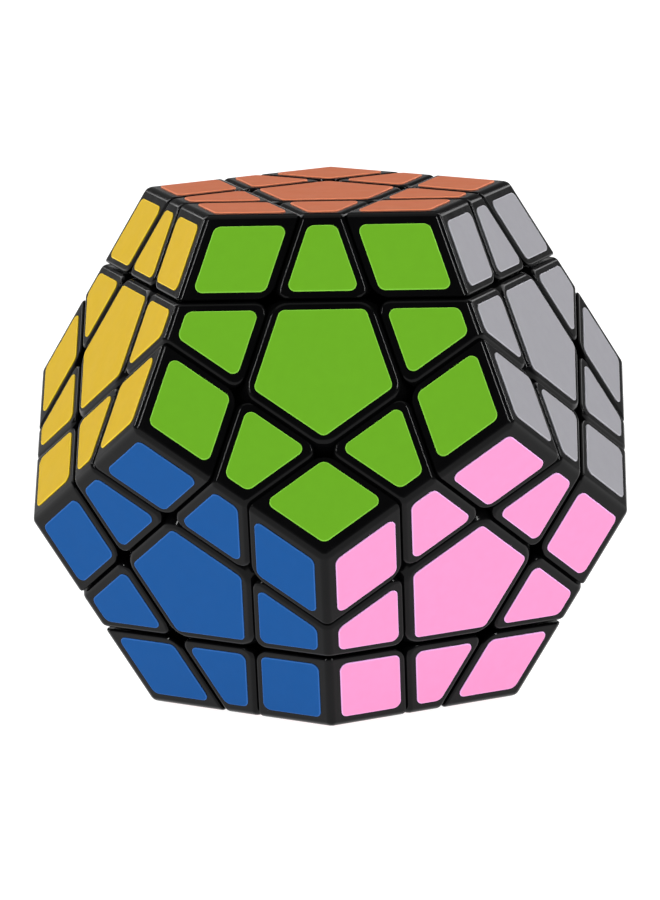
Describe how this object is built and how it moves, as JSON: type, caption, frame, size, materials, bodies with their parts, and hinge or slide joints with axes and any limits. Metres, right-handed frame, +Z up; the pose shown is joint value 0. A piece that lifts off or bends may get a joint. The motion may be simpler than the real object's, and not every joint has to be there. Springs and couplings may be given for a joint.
{
  "type": "dodecahedron twisty puzzle",
  "caption": "Twelve-sided twisty puzzle: stickered centre, edge and corner pieces held on a sprung twelve-armed core, with turning face layers.",
  "frame": {"origin": "middle of the bottom face, on the surface the puzzle stands on", "axes": "+Z up; -Y towards the front, where the light green face looks out and slightly up"},
  "size_m": [0.082, 0.0862, 0.07],
  "materials": {
    "black_plastic": "satin moulded ABS",
    "core_plastic": "matte moulded nylon",
    "zinc_steel": "bright zinc",
    "spring_steel": "drawn wire",
    "vinyl_orange": "satin vinyl",
    "vinyl_green": "satin vinyl",
    "vinyl_grey": "satin vinyl",
    "vinyl_light_blue": "satin vinyl",
    "vinyl_purple": "satin vinyl",
    "vinyl_yellow": "satin vinyl",
    "vinyl_pink": "satin vinyl",
    "vinyl_cream": "satin vinyl",
    "vinyl_dark_green": "satin vinyl",
    "vinyl_white": "satin vinyl",
    "vinyl_blue": "satin vinyl",
    "vinyl_red": "satin vinyl"
  },
  "bodies": {
    "fixed_frame": {"core": "core_plastic", "tension_screws": "zinc_steel", "screw_washers": "zinc_steel", "tension_springs": "spring_steel", "fixed_centre_hubs": "black_plastic", "fixed_centre_caps": "black_plastic", "fixed_edges": "black_plastic", "fixed_corners": "black_plastic", "fixed_orange_stickers": "vinyl_orange", "fixed_green_stickers": "vinyl_green", "fixed_light_blue_stickers": "vinyl_light_blue", "fixed_purple_stickers": "vinyl_purple", "fixed_pink_stickers": "vinyl_pink", "fixed_cream_stickers": "vinyl_cream", "fixed_dark_green_stickers": "vinyl_dark_green", "fixed_white_stickers": "vinyl_white", "fixed_blue_stickers": "vinyl_blue"},
    "left_layer": {"left_centre_hub": "black_plastic", "left_centre_cap": "black_plastic", "left_edges": "black_plastic", "corner_orange_green_yellow": "black_plastic", "corner_orange_purple_yellow": "black_plastic", "corner_green_yellow_blue": "black_plastic", "corner_purple_yellow_white": "black_plastic", "corner_yellow_white_blue": "black_plastic", "left_orange_stickers": "vinyl_orange", "left_green_stickers": "vinyl_green", "left_purple_stickers": "vinyl_purple", "left_yellow_stickers": "vinyl_yellow", "left_white_stickers": "vinyl_white", "left_blue_stickers": "vinyl_blue"},
    "right_layer": {"right_centre_hub": "black_plastic", "right_centre_cap": "black_plastic", "right_edges": "black_plastic", "corner_orange_green_grey": "black_plastic", "corner_orange_grey_light_blue": "black_plastic", "corner_green_grey_pink": "black_plastic", "corner_grey_light_blue_cream": "black_plastic", "corner_grey_pink_cream": "black_plastic", "right_orange_stickers": "vinyl_orange", "right_green_stickers": "vinyl_green", "right_grey_stickers": "vinyl_grey", "right_light_blue_stickers": "vinyl_light_blue", "right_pink_stickers": "vinyl_pink", "right_cream_stickers": "vinyl_cream"},
    "bottom_layer": {"bottom_centre_hub": "black_plastic", "bottom_centre_cap": "black_plastic", "bottom_edges": "black_plastic", "corner_pink_cream_red": "black_plastic", "corner_pink_blue_red": "black_plastic", "corner_cream_dark_green_red": "black_plastic", "corner_dark_green_white_red": "black_plastic", "corner_white_blue_red": "black_plastic", "bottom_pink_stickers": "vinyl_pink", "bottom_cream_stickers": "vinyl_cream", "bottom_dark_green_stickers": "vinyl_dark_green", "bottom_white_stickers": "vinyl_white", "bottom_blue_stickers": "vinyl_blue", "bottom_red_stickers": "vinyl_red"}
  },
  "joints": [
    {"name": "left_turn", "type": "hinge", "parent": "fixed_frame", "child": "left_layer", "pos_m": [0, 0, 0.035], "axis": [-0.8507, -0.2764, 0.4472], "continuous": true},
    {"name": "right_turn", "type": "hinge", "parent": "fixed_frame", "child": "right_layer", "pos_m": [0, 0, 0.035], "axis": [0.8507, -0.2764, 0.4472], "continuous": true},
    {"name": "bottom_turn", "type": "hinge", "parent": "fixed_frame", "child": "bottom_layer", "pos_m": [0, 0, 0.035], "axis": [0, 0, -1], "continuous": true}
  ]
}
